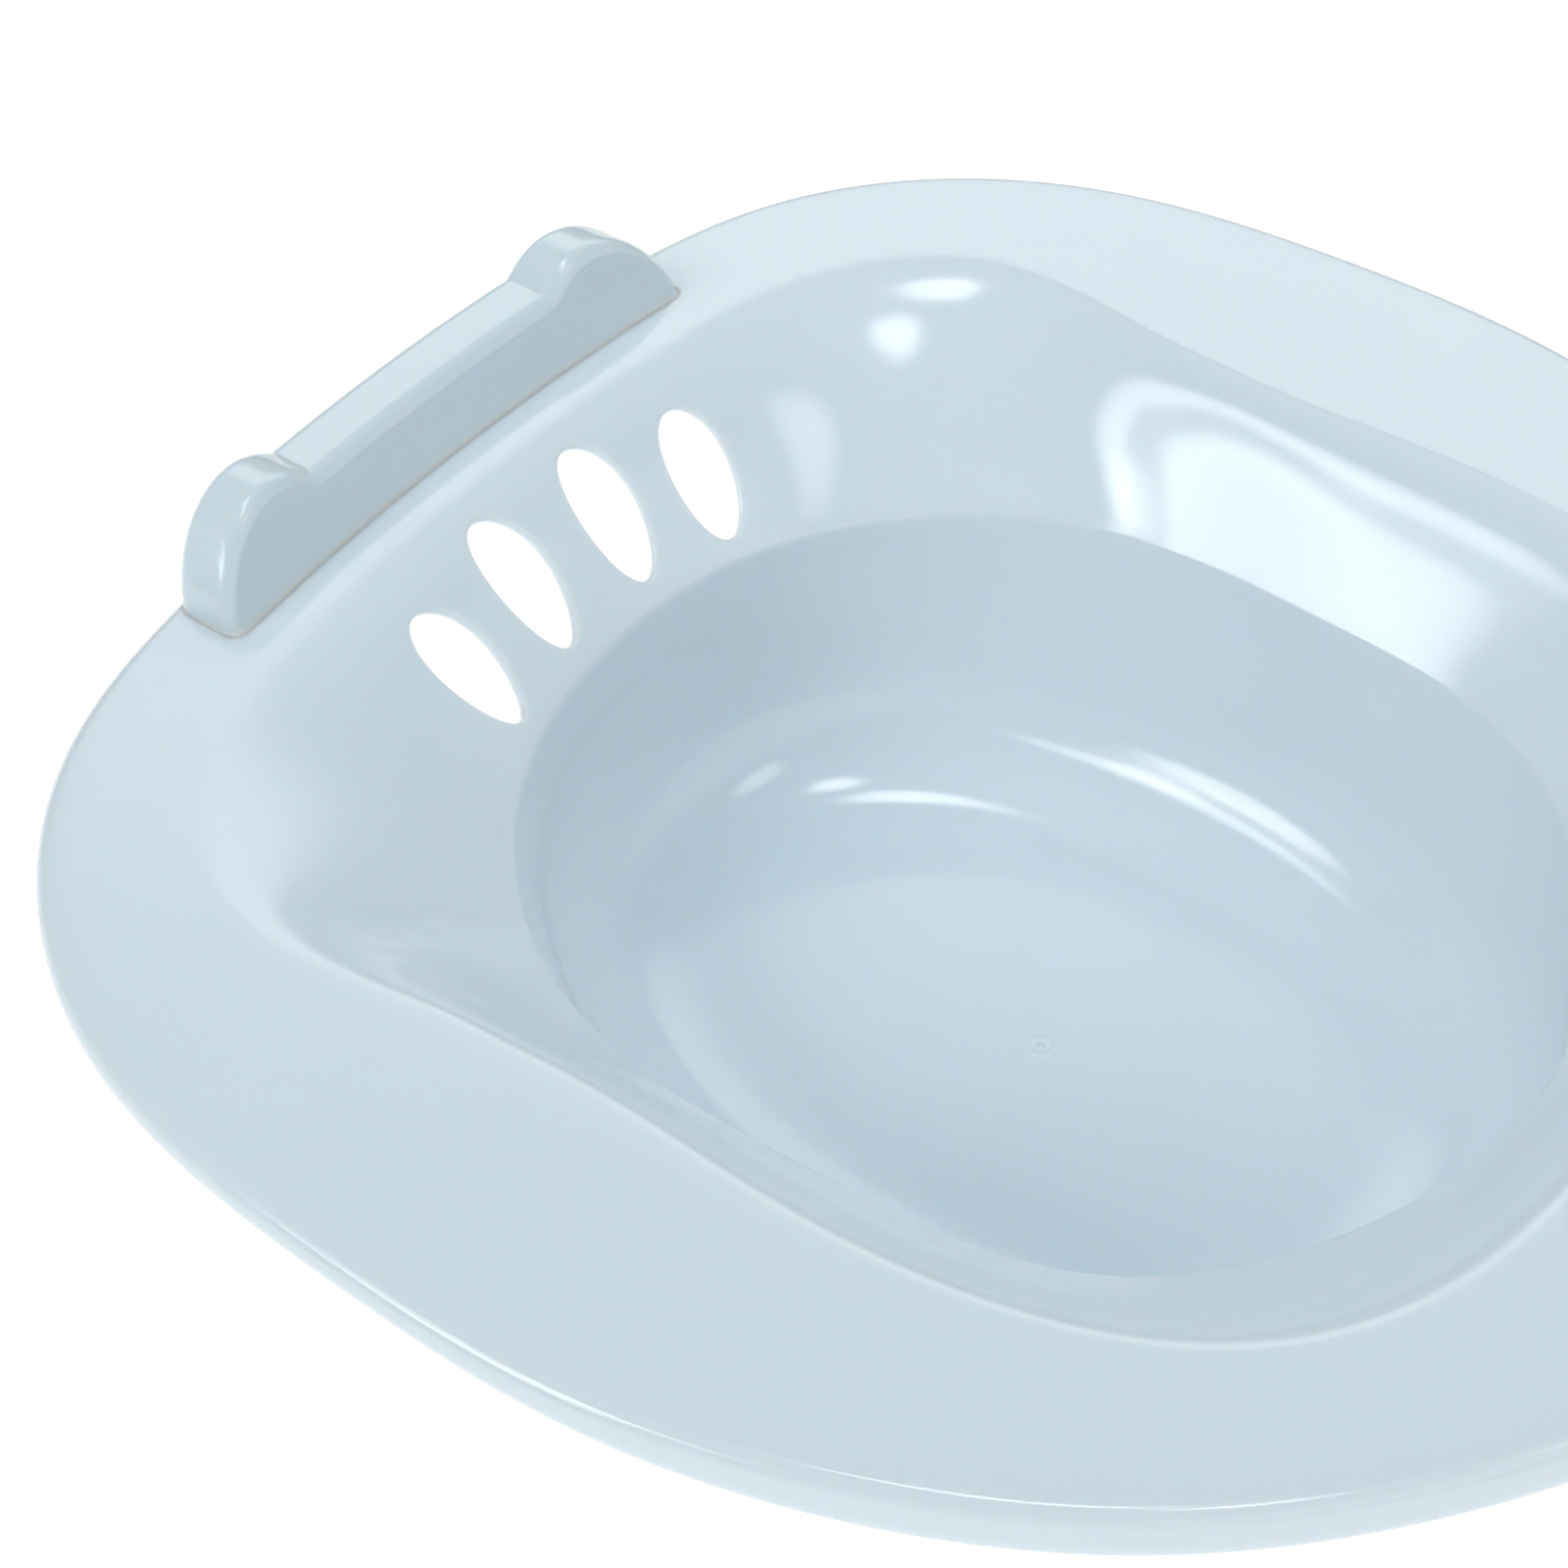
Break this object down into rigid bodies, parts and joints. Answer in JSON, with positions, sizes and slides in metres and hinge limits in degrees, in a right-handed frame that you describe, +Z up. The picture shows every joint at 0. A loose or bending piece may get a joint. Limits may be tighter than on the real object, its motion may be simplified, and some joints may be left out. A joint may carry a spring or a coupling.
{
  "type": "bedpan",
  "caption": "Over-toilet bedpan basin: oblong bowl, stepped funnel with overflow slots, broad seat flange with rolled lip and a raised two-eared splash guard.",
  "frame": {"origin": "on the flat underside of the bowl floor, directly below the gate mark in the middle of the floor", "axes": "+Z up out of the bowl, +Y towards the splash guard and overflow holes, X across the part, which is symmetric about x = 0"},
  "size_m": [0.3628, 0.3653, 0.1155],
  "materials": {
    "pale_blue_plastic": "glossy injection-moulded polypropylene, pale blue, through-coloured"
  },
  "bodies": {
    "root": {"bowl_floor": "pale_blue_plastic", "bowl_wall": "pale_blue_plastic", "funnel_wall": "pale_blue_plastic", "overflow_panel": "pale_blue_plastic", "seat_flange": "pale_blue_plastic", "rim_lip": "pale_blue_plastic", "splash_guard_wall": "pale_blue_plastic", "guard_ear_left": "pale_blue_plastic", "guard_ear_right": "pale_blue_plastic"}
  },
  "joints": []
}
